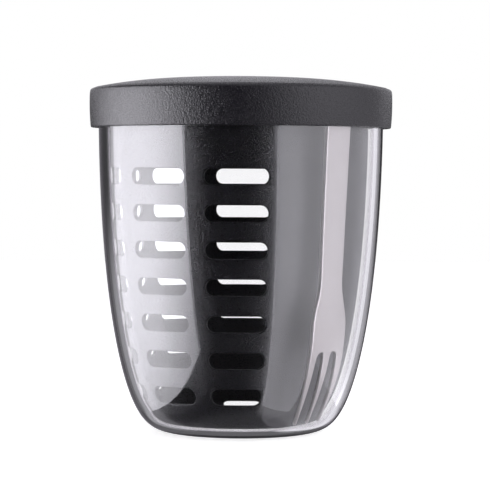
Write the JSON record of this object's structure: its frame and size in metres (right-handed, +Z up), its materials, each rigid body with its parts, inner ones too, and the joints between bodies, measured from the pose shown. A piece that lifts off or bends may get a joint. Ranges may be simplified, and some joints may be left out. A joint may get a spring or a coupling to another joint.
{
  "type": "salad container",
  "caption": "Clear tapered food pot holding a black slotted strainer basket and a steel fork in the basket's bay, closed by a shallow domed black lid.",
  "frame": {"origin": "middle of the pot's base, on the surface that it stands on", "axes": "+Z up along the pot's axis, -Y towards the picture's camera, +X to the picture's right"},
  "size_m": [0.1, 0.1, 0.1174],
  "materials": {
    "clear_plastic": "polished clear",
    "basket_plastic": "fine grained satin",
    "fork_steel": "satin",
    "lid_plastic": "fine grained satin",
    "seal_silicone": "matte"
  },
  "bodies": {
    "pot": {"outer_pot": "clear_plastic"},
    "strainer": {"strainer_basket": "basket_plastic"},
    "fork": {"fork": "fork_steel"},
    "lid": {"lid": "lid_plastic", "lid_seal": "seal_silicone"}
  },
  "joints": [
    {"name": "strainer_lift", "type": "slide", "parent": "pot", "child": "strainer", "axis": [0, 0, 1], "range_m": [0, 0.112]},
    {"name": "fork_lift", "type": "slide", "parent": "strainer", "child": "fork", "axis": [0, 0, 1], "range_m": [0, 0.0075]},
    {"name": "lid_lift", "type": "slide", "parent": "fork", "child": "lid", "axis": [0, 0, 1], "range_m": [0, 0.03]}
  ]
}
